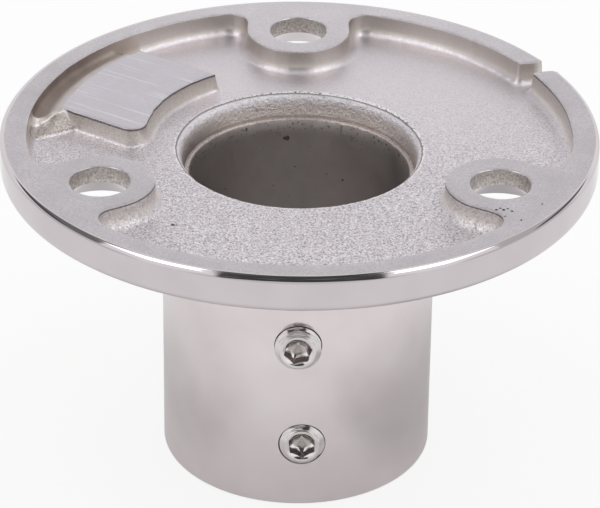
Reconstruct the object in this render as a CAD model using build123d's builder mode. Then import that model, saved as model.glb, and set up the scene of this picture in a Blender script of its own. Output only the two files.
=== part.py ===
"""Handrail base bracket: a cast flange and tube socket with two socket set screws.

The bracket stands on the mouth of its socket, with the mounting face up.
The origin is the centre of the socket's mouth, +Z is up and the screws face -Y.
"""
import os
from math import asin, degrees

from build123d import *

os.makedirs("parts", exist_ok=True)

# Driving dimensions, in millimetres and degrees
overall_height = 45.6
flange_radius = 38.1
flange_thickness = 4.8
face_edge_round = 0.8
back_edge_round = 1.2

socket_radius = 17.6
socket_root_round = 2.0
mouth_round = 0.4
mouth_lead_in = 0.5
tube_radius = 14.0
tube_clearance = 0.1

recess_depth = 2.8
rim_width = 3.4
recess_foot_round = 1.0

bolt_edge_distance = 9.5
bolt_count = 3
bolt_start_angle = 90.7
bolt_hole_radius = 3.8
countersink_radius = 6.4
countersink_angle = 90
boss_radius = 6.8
boss_corner_round = 2.5

entry_radius = 15.75
entry_chamfer = 0.65
entry_throat_radius = 14.7
entry_depth = 3.1
ledge_drop = 0.3

pad_direction = 146.4
pad_left_width = 12.0
pad_right_width = 7.2
pad_inner_radius = 19.65
pad_corner_round = 2.0
pad_depth = 0.5
shelf_width = 3.5
shelf_left_reach = 3.5
shelf_right_reach = 2.2
shelf_depth = 1.3

drain_angle = 30.4
drain_lean = -16
drain_width = 2.7

screw_radius = 2.95
screw_clearance = 0.05
screw_length = 4.0
screw_end_chamfer = 0.75
hex_across_flats = 3.0
hex_depth = 1.8
hex_mouth_radius = 1.85
hex_mouth_depth = 0.2
hex_point_depth = 0.7
cup_radius = 1.5
cup_depth = 0.6
upper_screw_height = 23.85
upper_screw_offset = 0.13
upper_screw_stand_out = 1.5
upper_screw_turn = 14
lower_screw_height = 9.2
lower_screw_offset = 0.76
lower_screw_stand_out = 0.5
lower_screw_turn = 33

# Worked out from the driving dimensions
face_height = overall_height
floor_height = face_height - recess_depth
underside_height = face_height - flange_thickness
recess_radius = flange_radius - rim_width
bolt_circle_radius = flange_radius - bolt_edge_distance
pad_outer_radius = recess_radius - shelf_width
shelf_start_angle = pad_direction - degrees(
    asin(pad_right_width / pad_outer_radius) + shelf_right_reach / pad_outer_radius
)
shelf_end_angle = pad_direction + degrees(
    asin(pad_left_width / pad_outer_radius) + shelf_left_reach / pad_outer_radius
)
bore_radius = tube_radius + tube_clearance
throat_height = floor_height - entry_depth
screw_hole_radius = screw_radius + screw_clearance
screw_places = (
    ("upper_set_screw", upper_screw_offset, upper_screw_height, upper_screw_stand_out, upper_screw_turn),
    ("lower_set_screw", lower_screw_offset, lower_screw_height, lower_screw_stand_out, lower_screw_turn),
)


def nearest_corner(shape, x, y):
    """The vertex of a sketch or part that lies nearest to a point of its plane."""
    return shape.vertices().sort_by_distance((x, y))[0]


def pad_outline(outer_radius):
    """Plan of the gate pad: a strip between two radii about the bore, one corner rounded."""
    with BuildSketch() as outline:
        with Locations(Location((0, 0, 0), (0, 0, pad_direction))):
            with Locations((0, (pad_left_width - pad_right_width) / 2)):
                Rectangle(
                    outer_radius,
                    pad_left_width + pad_right_width,
                    align=(Align.MIN, Align.CENTER),
                )
        Circle(outer_radius, mode=Mode.INTERSECT)
        Circle(pad_inner_radius, mode=Mode.SUBTRACT)
        bore_side = outline.vertices().group_by(lambda v: round(Vector(v.X, v.Y).length, 3))[0]
        fillet(bore_side.sort_by(Axis.Y)[0], pad_corner_round)
    return outline.sketch


def shelf_outline(outer_radius):
    """Plan of the cast shelf between the gate pad and the rim: a part of a ring."""
    sweep_angle = shelf_end_angle - shelf_start_angle
    with BuildSketch() as outline:
        with BuildLine():
            inner = CenterArc((0, 0), pad_outer_radius, shelf_start_angle, sweep_angle)
            outer = CenterArc((0, 0), outer_radius, shelf_start_angle, sweep_angle)
            Line(inner @ 0, outer @ 0)
            Line(inner @ 1, outer @ 1)
        make_face()
    return outline.sketch


# The casting: flange and socket are one piece, open from end to end
with BuildPart() as bracket_casting:
    # Turned form of flange and socket wall
    with BuildSketch(Plane.XZ) as section:
        with BuildLine():
            Polyline(
                (bore_radius, 0),
                (socket_radius, 0),
                (socket_radius, underside_height),
                (flange_radius, underside_height),
                (flange_radius, face_height),
                (bore_radius, face_height),
                close=True,
            )
        make_face()
        fillet(nearest_corner(section, socket_radius, underside_height), socket_root_round)
        fillet(nearest_corner(section, flange_radius, underside_height), back_edge_round)
        fillet(nearest_corner(section, flange_radius, face_height), face_edge_round)
        fillet(nearest_corner(section, socket_radius, 0), mouth_round)
        chamfer(nearest_corner(section, bore_radius, 0), mouth_lead_in)
    revolve(axis=Axis.Z)

    # Recess in the mounting face, left standing at the bosses and the gate pad
    with BuildSketch(Plane.XY.offset(face_height)) as recess:
        Circle(recess_radius)
        with PolarLocations(bolt_circle_radius, bolt_count, start_angle=bolt_start_angle):
            Circle(boss_radius, mode=Mode.SUBTRACT)
            Rectangle(
                recess_radius,
                2 * boss_radius,
                align=(Align.MIN, Align.CENTER),
                mode=Mode.SUBTRACT,
            )
        rim_corners = recess.vertices().group_by(lambda v: round(Vector(v.X, v.Y).length, 3))[-1]
        fillet(rim_corners, boss_corner_round)
        add(pad_outline(pad_outer_radius), mode=Mode.SUBTRACT)
        add(shelf_outline(flange_radius), mode=Mode.SUBTRACT)
    extrude(amount=-recess_depth, mode=Mode.SUBTRACT)

    # Top of the gate pad, ground a little below the rim, and the lower shelf behind it
    with BuildSketch(Plane.XY.offset(face_height)):
        add(pad_outline(pad_outer_radius))
    extrude(amount=-pad_depth, mode=Mode.SUBTRACT)
    with BuildSketch(Plane.XY.offset(face_height)):
        add(shelf_outline(recess_radius))
    extrude(amount=-shelf_depth, mode=Mode.SUBTRACT)

    # Round at the foot of every wall of the recess
    floor_edges = bracket_casting.edges().filter_by_position(Axis.Z, floor_height, floor_height)
    fillet(floor_edges.sort_by_distance((0, 0, floor_height))[1:], recess_foot_round)

    # Cast entry above the bore: an edge chamfer, a funnel and the narrow ledge of the bore
    with BuildSketch(Plane.XZ):
        with BuildLine():
            Polyline(
                (0, floor_height),
                (entry_radius, floor_height),
                (entry_radius - entry_chamfer, floor_height - entry_chamfer),
                (entry_throat_radius, throat_height),
                (bore_radius, throat_height - ledge_drop),
                (0, throat_height - ledge_drop),
                close=True,
            )
        make_face()
    revolve(axis=Axis.Z, mode=Mode.SUBTRACT)

    # Bolt holes, countersunk from the socket side
    with Locations(Plane((0, 0, underside_height), x_dir=(1, 0, 0), z_dir=(0, 0, -1))):
        with PolarLocations(bolt_circle_radius, bolt_count, start_angle=-bolt_start_angle):
            CounterSinkHole(
                radius=bolt_hole_radius,
                counter_sink_radius=countersink_radius,
                depth=flange_thickness,
                counter_sink_angle=countersink_angle,
            )

    # Drain slot through the rim, as deep as the recess and a little off the radial direction
    with BuildSketch(Plane.XY.offset(face_height)):
        with PolarLocations(recess_radius + rim_width / 2, 1, start_angle=drain_angle):
            Rectangle(3 * rim_width, drain_width, rotation=drain_lean)
    extrude(amount=-recess_depth, mode=Mode.SUBTRACT)

    # Threaded holes for the two set screws
    with BuildSketch(Plane.XZ):
        for name, offset, height, stand_out, turn in screw_places:
            with Locations((offset, height)):
                Circle(screw_hole_radius)
    extrude(amount=socket_radius, mode=Mode.SUBTRACT)

bracket_casting.part.label = "bracket_casting"
export_step(bracket_casting.part, "parts/bracket_casting.step")

# The set screws: hexagon socket at the outer end, cup point at the inner end
for name, offset, height, stand_out, turn in screw_places:
    outer_end = Plane(
        origin=(offset, -socket_radius - stand_out, height),
        x_dir=(1, 0, 0),
        z_dir=(0, -1, 0),
    )
    with BuildPart(outer_end) as set_screw:
        Cylinder(screw_radius, screw_length, align=(Align.CENTER, Align.CENTER, Align.MAX))
        chamfer(set_screw.edges().filter_by(GeomType.CIRCLE), screw_end_chamfer)

        # Hexagon socket with a drilled, conical bottom
        with BuildSketch(outer_end):
            RegularPolygon(hex_across_flats / 2, 6, major_radius=False, rotation=turn)
        extrude(amount=-hex_depth, mode=Mode.SUBTRACT)
        with Locations(outer_end.offset(-hex_depth)):
            Cone(
                0,
                hex_across_flats / 2,
                hex_point_depth,
                align=(Align.CENTER, Align.CENTER, Align.MAX),
                mode=Mode.SUBTRACT,
            )
        with Locations(outer_end):
            Cone(
                hex_across_flats / 2,
                hex_mouth_radius,
                hex_mouth_depth,
                align=(Align.CENTER, Align.CENTER, Align.MAX),
                mode=Mode.SUBTRACT,
            )

        # Cup point that bites into the tube
        with Locations(outer_end.offset(-screw_length)):
            Cone(
                cup_radius,
                0,
                cup_depth,
                align=(Align.CENTER, Align.CENTER, Align.MIN),
                mode=Mode.SUBTRACT,
            )

    set_screw.part.label = name
    export_step(set_screw.part, f"parts/{name}.step")
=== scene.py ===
"""Looks of a handrail base bracket: a cast flange and tube socket with two socket set screws.

Sizes are in millimetres until a mesh is made, in the frame of the CAD model: the origin is the
centre of the socket's mouth, +Z runs up to the mounting face and the set screws face -Y. Where a
finish or the studio goes by a place, that place is in metres.
"""
import logging
import math
from collections.abc import Sequence
from dataclasses import dataclass, field
from enum import Enum

import bmesh
import bpy
import numpy as np
from mathutils import Matrix, Vector, noise
from mathutils.geometry import delaunay_2d_cdt
from mathutils.kdtree import KDTree


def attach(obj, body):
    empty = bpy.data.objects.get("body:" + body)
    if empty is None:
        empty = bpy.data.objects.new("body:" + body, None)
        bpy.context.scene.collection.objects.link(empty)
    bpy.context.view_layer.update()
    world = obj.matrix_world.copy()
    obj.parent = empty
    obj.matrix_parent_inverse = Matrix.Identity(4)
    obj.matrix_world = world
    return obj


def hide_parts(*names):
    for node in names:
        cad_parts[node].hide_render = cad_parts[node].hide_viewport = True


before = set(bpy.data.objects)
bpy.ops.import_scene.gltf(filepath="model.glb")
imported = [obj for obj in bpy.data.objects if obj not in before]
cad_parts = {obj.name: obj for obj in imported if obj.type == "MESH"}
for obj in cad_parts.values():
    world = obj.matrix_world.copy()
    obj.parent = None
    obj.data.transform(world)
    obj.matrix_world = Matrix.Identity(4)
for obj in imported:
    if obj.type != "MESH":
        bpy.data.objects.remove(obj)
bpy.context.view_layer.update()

MILLIMETRE = 0.001
FULL_TURN = 2 * math.pi

# Spacing of points along small rounds, along edges and along long arcs
FINE, EVEN, WIDE = 0.2, 0.22, 0.25
# Points of a skin nearer than the first are welded, slivers thinner than the second dissolved
WELD, SLIVER = 0.0004, 0.0002
# Points round a bolt hole or a screw hole
HOLE_STEPS = 96
# Distance of the rows of an even spread, as a share of its spacing
ROW_SHARE = 0.866
# How far the points of an even spread are shaken, as a share of its spacing
SHAKE = 0.12
# Width of the soft edge of a plane in the surround, where none is given
SOFT_EDGE = 0.025

Point = tuple[float, float]
Place = tuple[float, float, float]
Tone = tuple[float, float, float, float]
Four = tuple[float, float, float, float]
Socket = bpy.types.NodeSocket
Value = Socket | float | tuple[float, ...]

log = logging.getLogger("bracket")


# Plan curves and fields


def turns(count: int) -> np.ndarray:
    """Even angles round a full turn in radians, the first one 0."""
    return np.arange(count) * FULL_TURN / count


def circle(angles: np.ndarray, radius: float | np.ndarray = 1.0, centre: Point = (0, 0)) -> np.ndarray:
    """Plan points on a circle, one for each angle in radians."""
    return np.stack([centre[0] + radius * np.cos(angles), centre[1] + radius * np.sin(angles)], 1)


def towards(angle: float, reach: float) -> Point:
    """Plan point in a direction, given in degrees, at a distance from the socket's axis."""
    return (reach * math.cos(math.radians(angle)), reach * math.sin(math.radians(angle)))


def arc(centre: Point, radius: float, start: float, end: float, spacing: float) -> np.ndarray:
    """Plan points along an arc between two angles in degrees, ends included, about a spacing apart."""
    steps = max(2, math.ceil(abs(math.radians(end - start)) * radius / spacing))
    return circle(np.radians(np.linspace(start, end, steps + 1)), radius, centre)


def run(start: Point, end: Point, spacing: float) -> np.ndarray:
    """Points along a straight line.

    Args:
        start: First point.
        end: Last point.
        spacing: Distance aimed at between two points.

    Returns:
        An array of plan points, both ends included.
    """
    steps = max(1, math.ceil(math.dist(start, end) / spacing))
    share = np.linspace(0, 1, steps + 1)[:, None]
    return np.array(start) * (1 - share) + np.array(end) * share


def turned(points: np.ndarray, angle: float) -> np.ndarray:
    """Plan points turned about the socket's axis by an angle in degrees."""
    c, s = math.cos(math.radians(angle)), math.sin(math.radians(angle))
    return points @ np.array([[c, s], [-s, c]])


def joined(pieces: list[np.ndarray], least: float = 0.02) -> np.ndarray:
    """One closed line from successive pieces, without repeated points.

    Args:
        pieces: Successive runs and arcs.
        least: Points nearer than this to the one before are left out.

    Returns:
        The closed line's points, the first one not repeated.
    """
    points = np.concatenate(pieces)
    kept = [points[0]]
    for point in points[1:]:
        if math.dist(point, kept[-1]) > least:
            kept.append(point)
    if math.dist(kept[0], kept[-1]) <= least:
        kept.pop()
    return np.array(kept)


def ring(radius: float, height: float, count: int, centre: Point = (0, 0)) -> np.ndarray:
    """A level circle of points in space, the first one towards +X."""
    return np.column_stack([circle(turns(count), radius, centre), np.full(count, height)])


def rolled(points: np.ndarray, radius: float) -> np.ndarray:
    """Flat points, as length along the wall and height, rolled up round the socket's axis."""
    turn = points[:, 0] / radius
    return np.column_stack([radius * np.cos(turn), radius * np.sin(turn), points[:, 1]])


def grain(places: np.ndarray, size: float, seed: float) -> np.ndarray:
    """Smooth seeded noise at many places.

    Args:
        places: Plan or space points.
        size: Size of the noise's bumps, in millimetres.
        seed: Shift of the field, so that two fields differ.

    Returns:
        One value between about -1 and 1 for each place.
    """
    third = places[:, 2] if places.shape[1] > 2 else np.zeros(len(places))
    return np.array([
        noise.noise(Vector((x / size + seed, y / size - seed, z / size + 0.37 * seed)))
        for x, y, z in zip(places[:, 0], places[:, 1], third)
    ])


def waves(places: np.ndarray, height: float, size: float, seed: float) -> np.ndarray:
    """The same noise with waves of a given height."""
    return height * grain(places, size, seed)


def eased(value: np.ndarray) -> np.ndarray:
    """A smooth step from 0 to 1, held outside that range."""
    value = np.clip(value, 0, 1)
    return value * value * (3 - 2 * value)


def cove(share: np.ndarray) -> np.ndarray:
    """Height of a hollow quarter round, from 1 where the share is 0 down to 0 where it is 1."""
    return 1 - np.sqrt(np.clip(1 - (1 - np.clip(share, 0, 1)) ** 2, 0, 1))


def worn(away: np.ndarray, depth: float, width: float, most: float = 1.0) -> np.ndarray:
    """How far an edge is worn down at a distance from it; past the edge, most caps the share."""
    return depth * np.clip(1 - away / width, 0, most) ** 2


class Outline:
    """A closed plan line, counter-clockwise, with its distance and its parallels."""

    def __init__(self, points: np.ndarray) -> None:
        """Keeps the line's points and their outward directions.

        Args:
            points: The closed line's points, counter-clockwise, the first one not repeated.
        """
        self.points = points
        along = np.roll(points, -1, 0) - np.roll(points, 1, 0)
        along /= np.linalg.norm(along, axis=1)[:, None]
        self.outward = np.stack([along[:, 1], -along[:, 0]], 1)
        self.tree = KDTree(len(points))
        for index, (x, y) in enumerate(points):
            self.tree.insert((x, y, 0), index)
        self.tree.balance()

    def distance(self, places: np.ndarray) -> np.ndarray:
        """Signed distance of many plan points from the line.

        Args:
            places: Plan points.

        Returns:
            The distances, negative inside.
        """
        nearest = np.array([self.tree.find((x, y, 0))[1] for x, y in places])
        count, tiny = len(self.points), 1e-9
        best = np.full(len(places), np.inf)
        sign = np.ones(len(places))
        for shift in (-1, 0):
            a = self.points[(nearest + shift) % count]
            b = self.points[(nearest + shift + 1) % count]
            ab, ap = b - a, places - a
            share = np.clip((ab * ap).sum(1) / (ab * ab).sum(1), 0, 1)
            length = np.linalg.norm(ap - share[:, None] * ab, axis=1)
            side = -np.sign(ab[:, 0] * ap[:, 1] - ab[:, 1] * ap[:, 0])
            closer = length < best - tiny
            best = np.where(closer, length, best)
            sign = np.where(closer, side, sign)
        corner = np.linalg.norm(places - self.points[nearest], axis=1) <= best + tiny
        outwards = ((places - self.points[nearest]) * self.outward[nearest]).sum(1)
        sign = np.where(corner, np.where(outwards >= 0, 1.0, -1.0), sign)
        return best * np.where(sign == 0, 1, sign)

    def parallel(self, amount: float, least: float) -> np.ndarray:
        """A line parallel to this one.

        Args:
            amount: Distance outwards, or inwards where it is negative.
            least: Least distance between two of its points.

        Returns:
            The parallel's points, in order, with folded-over stretches left out.
        """
        if amount == 0:
            return self.points
        places = self.points + amount * self.outward
        places = places[np.abs(self.distance(places) - amount) < 0.03 * abs(amount) + 0.004]
        return joined([places], least)


# Finishes


def tone(red: float, green: float, blue: float) -> Tone:
    """A colour in linear light.

    Args:
        red: Display value of 0 to 255.
        green: Display value of 0 to 255.
        blue: Display value of 0 to 255.

    Returns:
        The colour, opaque.
    """
    parts = [c / 255 for c in (red, green, blue)]
    linear = [c / 12.92 if c <= 0.04045 else ((c + 0.055) / 1.055) ** 2.4 for c in parts]
    return (linear[0], linear[1], linear[2], 1.0)


class Graph:
    """The nodes of a material or world while they are being drawn up."""

    def __init__(self, tree: bpy.types.NodeTree, frame_of_places: str = "Object") -> None:
        """Takes up a node tree and the texture coordinates that places are read in."""
        self.nodes, self.links = tree.nodes, tree.links
        self.places = self.add("TexCoord", {}).outputs[frame_of_places]

    def feed(self, socket: Socket, value: Value) -> None:
        """Links an input to an output, or sets it to a plain value.

        Args:
            socket: The input.
            value: The output or the value.
        """
        if isinstance(value, Socket):
            self.links.new(value, socket)
        else:
            socket.default_value = value

    def add(self, kind: str, inputs: dict[str | int, Value], **settings: str) -> bpy.types.Node:
        """Adds a node.

        Args:
            kind: The node's type, without its first word.
            inputs: What its inputs get, by name or number.
            **settings: Its other settings.

        Returns:
            The node.
        """
        node = self.nodes.new("ShaderNode" + kind)
        for name, setting in settings.items():
            setattr(node, name, setting)
        for key, value in inputs.items():
            self.feed(node.inputs[key], value)
        return node

    def combined(self, kind: str, *values: Value) -> Socket:
        """Combines values by arithmetic, one after the other.

        Args:
            kind: The operation.
            *values: The values, two or more, or one that is handed back.

        Returns:
            The result's socket.
        """
        result = values[0]
        for value in values[1:]:
            result = self.add("Math", {0: result, 1: value}, operation=kind).outputs[0]
        return result

    def graded(self, value: Socket, low: float, high: float, start: float = 0.0, end: float = 1.0,
               bend: str = "LINEAR") -> Socket:
        """A range of values mapped onto another and held at its ends, with a LINEAR or SMOOTHSTEP run."""
        inputs = {"Value": value, "From Min": low, "From Max": high, "To Min": start, "To Max": end}
        return self.add("MapRange", inputs, interpolation_type=bend).outputs["Result"]

    def coordinate(self, axis: str) -> Socket:
        """Place along the X, Y or Z axis."""
        return self.add("SeparateXYZ", {"Vector": self.places}).outputs[axis]

    def reach(self) -> Socket:
        """Distance from the socket's axis, in metres."""
        flat = self.add("VectorMath", {0: self.places, 1: (1, 1, 0)}, operation="MULTIPLY")
        return self.add("VectorMath", {0: flat.outputs["Vector"]}, operation="LENGTH").outputs["Value"]

    def seen(self, *kinds: str) -> Socket:
        """A value that is 1 for the named Light Path outputs' kinds of ray and 0 for all others."""
        path = self.add("LightPath", {})
        return self.combined("MAXIMUM", *(path.outputs[kind] for kind in kinds))

    def beyond(self, planes: tuple[tuple[float, ...], ...]) -> Socket:
        """A value that is 1 for the directions beyond all planes and 0 for the others.

        Args:
            planes: For each its normal and distance, and its soft edge's width where it isn't the usual one.

        Returns:
            The value's socket.
        """
        shares = []
        for x, y, z, distance, *width in planes:
            soft = width[0] if width else SOFT_EDGE
            along = self.add("VectorMath", {0: self.places, 1: (x, y, z)}, operation="DOT_PRODUCT")
            low, high = distance - soft, distance + soft
            shares.append(self.graded(along.outputs["Value"], low, high, bend="SMOOTHSTEP"))
        return self.combined("MULTIPLY", *shares)


class Sketch(Graph):
    """A metal while it is being drawn up."""

    def __init__(self, name: str) -> None:
        """Starts an empty metal.

        Args:
            name: Name of the material.
        """
        self.material = bpy.data.materials.new(name)
        self.material.use_nodes = True
        super().__init__(self.material.node_tree)
        self.shader = self.nodes["Principled BSDF"]
        self.shader.inputs["Metallic"].default_value = 1.0

    def noise(self, size: float, detail: float = 2.0, rough: float = 0.5, stretch: Place = (1, 1, 1),
              turn: float = 0.0) -> Socket:
        """A noise field over the object.

        Args:
            size: Size of its bumps in millimetres.
            detail: Number of finer layers.
            rough: Strength of the finer layers.
            stretch: Factors by which the bumps are longer along X, Y and Z.
            turn: Turn of the stretched field about Z, in degrees.

        Returns:
            The field's value socket.
        """
        lean = self.add("Mapping", {"Vector": self.places, "Rotation": (0, 0, math.radians(-turn))})
        scale = tuple(1 / s for s in stretch)
        scaled = self.add("Mapping", {"Vector": lean.outputs["Vector"], "Scale": scale})
        return self.add("TexNoise", {
            "Vector": scaled.outputs["Vector"], "Scale": 1 / (size * MILLIMETRE), "Detail": detail,
            "Roughness": rough,
        }).outputs["Fac"]

    def mixed(self, share: Socket, first: Value, second: Value) -> Socket:
        """Mixes two colours by the share of the second."""
        return self.add("Mix", {0: share, 6: first, 7: second}, data_type="RGBA").outputs[2]

    def ramp(self, value: Socket, low: float, high: float, stops: tuple[tuple[float, Tone], ...]) -> Socket:
        """Colours along a range of values.

        Args:
            value: The value.
            low: Value at which the ramp starts.
            high: Value at which it ends.
            stops: Places along the ramp, from 0 to 1, and their colours.

        Returns:
            The colour's socket.
        """
        node = self.add("ValToRGB", {"Fac": self.graded(value, low, high)})
        elements = node.color_ramp.elements
        for _ in stops[2:]:
            elements.new(0.5)
        for element, (place, color) in zip(elements, stops):
            element.position, element.color = place, color
        return node.outputs["Color"]

    def upright(self) -> Socket:
        """How steep the surface is: 0 where it is level and 1 where it stands upright."""
        normal = self.add("TexCoord", {}).outputs["Normal"]
        return self.graded(self.add("SeparateXYZ", {"Vector": normal}).outputs["Z"], 0.9, 0.3)

    def bumps(self, layers: list[tuple[Socket, float]]) -> None:
        """Stacks bump layers into the shader's normal.

        Args:
            layers: Height fields and how deep each is, in millimetres.
        """
        below = {}
        for value, depth in layers:
            inputs = {"Strength": 1.0, "Distance": depth * MILLIMETRE, "Height": value, **below}
            layer = self.add("Bump", inputs)
            below = {"Normal": layer.outputs["Normal"]}
        self.feed(self.shader.inputs["Normal"], below["Normal"])

    def finished(self, color: Socket, marks: Socket, roughness: Point) -> bpy.types.Material:
        """Connects colour and roughness and hands the material over.

        Args:
            color: The colour.
            marks: The noise field that the roughness follows.
            roughness: Roughness where the field is low and where it is high.

        Returns:
            The material.
        """
        self.feed(self.shader.inputs["Base Color"], color)
        self.feed(self.shader.inputs["Roughness"], self.graded(marks, 0.3, 0.7, *roughness))
        return self.material


@dataclass(frozen=True)
class CastSkin:
    """Sand-like cast steel: smooth at the back, sparkling in front, painted-shade brown walls, a chipped
    entry.
    """

    name: str = "cast_skin"
    smooth: Tone = tone(228, 222, 227)
    pale: Tone = tone(255, 253, 255)
    middle: Tone = tone(222, 216, 222)
    dull: Tone = tone(158, 150, 155)
    # Tone of steep walls, browner and darker than the floor: painted shade
    wall: Tone = tone(218, 210, 203)
    worn_wall: Tone = tone(255, 251, 248)
    # Painted shade on the upper part of walls, and the dark of the chips at the entry's edge
    brink: Tone = tone(132, 123, 122)
    roughness: Point = (0.54, 0.38)
    grain_depth: float = 0.12
    fade: Place = (-0.012, 0.018, 0.12)
    # Heights between which the upper part of walls darkens towards brink, and how far: painted shade
    wall_top_shade: Place = (0.0436, 0.0450, 0.28)
    entry_edge: Point = (0.0158, 0.0162)

    def make(self) -> bpy.types.Material:
        """Draws up the material.

        Returns:
            The material.
        """
        sketch = Sketch(self.name)
        speckle = sketch.noise(0.24, 2.0, 0.7)
        front_y, back_y, least = self.fade
        front = sketch.graded(sketch.coordinate("Y"), front_y, back_y, 1.0, least)
        spots = sketch.ramp(speckle, 0.36, 0.66, (
            (0.0, self.dull), (0.35, self.middle), (0.6, self.middle), (1.0, self.pale),
        ))
        flat = sketch.mixed(front, self.smooth, spots)
        patches = sketch.combined("MULTIPLY", sketch.graded(sketch.noise(0.3), 0.36, 0.60, 0.2), front)
        side = sketch.mixed(patches, self.wall, self.worn_wall)
        # Painted shade: walls darken towards brink at their upper part
        low, high, most = self.wall_top_shade
        side = sketch.mixed(sketch.graded(sketch.coordinate("Z"), low, high, 0.0, most), side, self.brink)
        chips = sketch.ramp(sketch.noise(0.3, 2.0, 0.7), 0.38, 0.55, (
            (0.0, self.brink), (0.3, self.middle), (0.6, self.pale),
        ))
        at_entry = sketch.graded(sketch.reach(), *self.entry_edge, 1.0, 0.0)
        # Steep surfaces take the walls' painted-shade tone; chips at the entry's edge go over it
        color = sketch.mixed(at_entry, sketch.mixed(sketch.upright(), flat, side), chips)
        sketch.bumps([
            (sketch.combined("MULTIPLY", sketch.noise(0.5), front), self.grain_depth),
            (sketch.combined("MULTIPLY", speckle, front), 0.6 * self.grain_depth),
        ])
        return sketch.finished(color, speckle, self.roughness)


@dataclass(frozen=True)
class GrooveSkin:
    """Smooth cast steel of the groove behind the pad: browner and darker to the rim in painted shade, grey at
    the pad.
    """

    name: str = "groove_skin"
    pad_side: Tone = tone(204, 198, 199)
    middle: Tone = tone(210, 201, 196)
    # Browner tone towards the rim, painted shade; also the tone of the groove's stains
    rim_side: Tone = tone(194, 181, 174)
    # Darkest tone at the rim's foot: painted shade
    shade_under_rim: Tone = tone(146, 132, 125)
    tip_side: Tone = tone(212, 202, 193)
    roughness: Point = (0.50, 0.60)
    across: Point = (0.0314, 0.0348)
    tip_across: Point = (0.0314, 0.0346)
    tip_sideways: Point = (-0.0285, -0.0215)
    grain_depth: float = 0.006

    def make(self) -> bpy.types.Material:
        """Draws up the material.

        Returns:
            The material.
        """
        sketch = Sketch(self.name)
        stain = sketch.noise(2.5)
        # Darker and browner towards the rim: painted shade
        color = sketch.ramp(sketch.reach(), *self.across, (
            (0.0, self.pad_side), (0.25, self.middle), (0.5, self.rim_side), (0.75, self.shade_under_rim),
            (1.0, self.shade_under_rim),
        ))
        tip = sketch.ramp(sketch.reach(), *self.tip_across, (
            (0.0, self.pad_side), (0.5, self.tip_side), (1.0, self.tip_side),
        ))
        color = sketch.mixed(sketch.graded(sketch.coordinate("X"), *self.tip_sideways), color, tip)
        color = sketch.mixed(sketch.graded(stain, 0.4, 0.75, 0.0, 0.3), color, self.rim_side)
        sketch.bumps([(sketch.noise(0.6), self.grain_depth)])
        return sketch.finished(color, stain, self.roughness)


@dataclass(frozen=True)
class FunnelSkin:
    """Grainy cast steel of the entry: painted-shade dark edge, a pale band, a browner band, painted-shade
    dark crease.
    """

    name: str = "funnel_skin"
    # Dark line at the entry's edge: painted shade
    brink: Tone = tone(150, 143, 144)
    pale: Tone = tone(250, 246, 250)
    brown: Tone = tone(250, 241, 237)
    # Dark crease at the entry's foot: painted shade
    crease: Tone = tone(205, 194, 190)
    shade: Tone = tone(126, 117, 114)
    pit: Tone = tone(170, 157, 152)
    roughness: Point = (0.70, 0.50)
    grain_depth: float = 0.16
    bands: Point = (0.0397, 0.0428)
    low_part: Point = (0.0422, 0.0403)
    shaded_sides: tuple[Place, ...] = ((-0.0085, -0.0140, 0.85), (0.0110, 0.0150, 0.55))

    def make(self) -> bpy.types.Material:
        """Draws up the material.

        Returns:
            The material.
        """
        sketch = Sketch(self.name)
        speckle = sketch.noise(0.25, 3.0, 0.65)
        # Bands by height, with the painted-shade dark line at the top and the painted-shade crease at the
        # foot
        color = sketch.ramp(sketch.coordinate("Z"), *self.bands, (
            (0.0, self.crease), (0.06, self.crease), (0.12, self.brown), (0.5, self.brown), (0.72, self.pale),
            (0.92, self.pale), (0.97, self.brink), (1.0, self.brink),
        ))
        low = sketch.graded(sketch.coordinate("Z"), *self.low_part)
        for start, end, share in self.shaded_sides:
            side = sketch.graded(sketch.coordinate("X"), start, end, 0.0, share)
            color = sketch.mixed(sketch.combined("MULTIPLY", low, side), color, self.shade)
        color = sketch.mixed(sketch.graded(speckle, 0.54, 0.68, 0.0, 0.45), color, self.pit)
        sketch.bumps([(sketch.noise(0.5), self.grain_depth), (speckle, 0.5 * self.grain_depth)])
        return sketch.finished(color, speckle, self.roughness)


@dataclass(frozen=True)
class BoreSkin:
    """Dark drawn wall of the bore, with pits below its upper edge, crowded there as painted shade too."""

    name: str = "bore_skin"
    steel: Tone = tone(214, 208, 207)
    cloud: Tone = tone(203, 197, 196)
    pit: Tone = tone(96, 86, 83)
    roughness: Point = (0.34, 0.5)
    pitted_and_shaded_part: Four = (0.0370, 0.0392, 0.0, 0.8)
    grain_depth: float = 0.02

    def make(self) -> bpy.types.Material:
        """Draws up the material.

        Returns:
            The material.
        """
        sketch = Sketch(self.name)
        clouds = sketch.noise(4.0)
        color = sketch.mixed(sketch.graded(clouds, 0.3, 0.7), self.steel, self.cloud)
        # Pits crowd towards the upper edge: real pits, and painted shade under the ledge
        near_edge = sketch.graded(sketch.coordinate("Z"), *self.pitted_and_shaded_part)
        holes = sketch.graded(sketch.noise(0.45), 0.60, 0.66)
        color = sketch.mixed(sketch.combined("MULTIPLY", holes, near_edge), color, self.pit)
        color = sketch.mixed(sketch.graded(sketch.noise(1.1, 1.0), 0.745, 0.765, 0.0, 0.8), color, self.pit)
        sketch.bumps([(sketch.noise(0.5), self.grain_depth)])
        return sketch.finished(color, clouds, self.roughness)


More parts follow.
